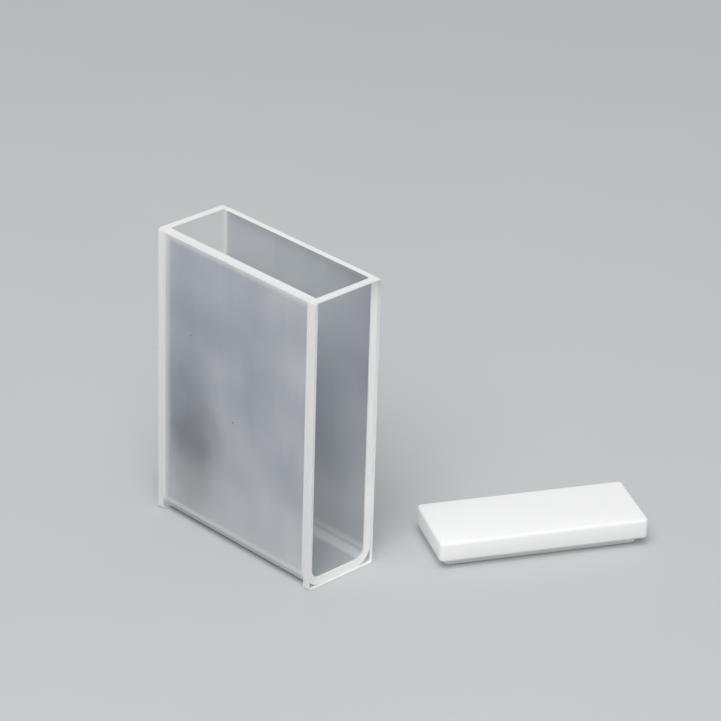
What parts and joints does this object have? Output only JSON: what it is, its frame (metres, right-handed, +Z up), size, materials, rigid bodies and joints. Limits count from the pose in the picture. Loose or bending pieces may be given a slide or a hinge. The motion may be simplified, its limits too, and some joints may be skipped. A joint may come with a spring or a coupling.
{
  "type": "cuvette",
  "caption": "Open-topped glass cell with frosted side walls, a rounded floor and polished end windows, with its white drop-in lid lying beside it.",
  "frame": {"origin": "middle of the cell's flat underside, which it stands on", "axes": "+X along the light path to one window, +Y square to the wide side walls, +Z up out of the open top"},
  "size_m": [0.0552, 0.0511, 0.045],
  "materials": {
    "frosted_glass": "ground outside, polished inside",
    "window_glass": "polished, with ground edges",
    "lid_plastic": "machined PTFE, satin"
  },
  "bodies": {
    "root": {"cell_channel": "frosted_glass", "window_right": "window_glass", "window_left": "window_glass", "lid": "lid_plastic"}
  },
  "joints": []
}
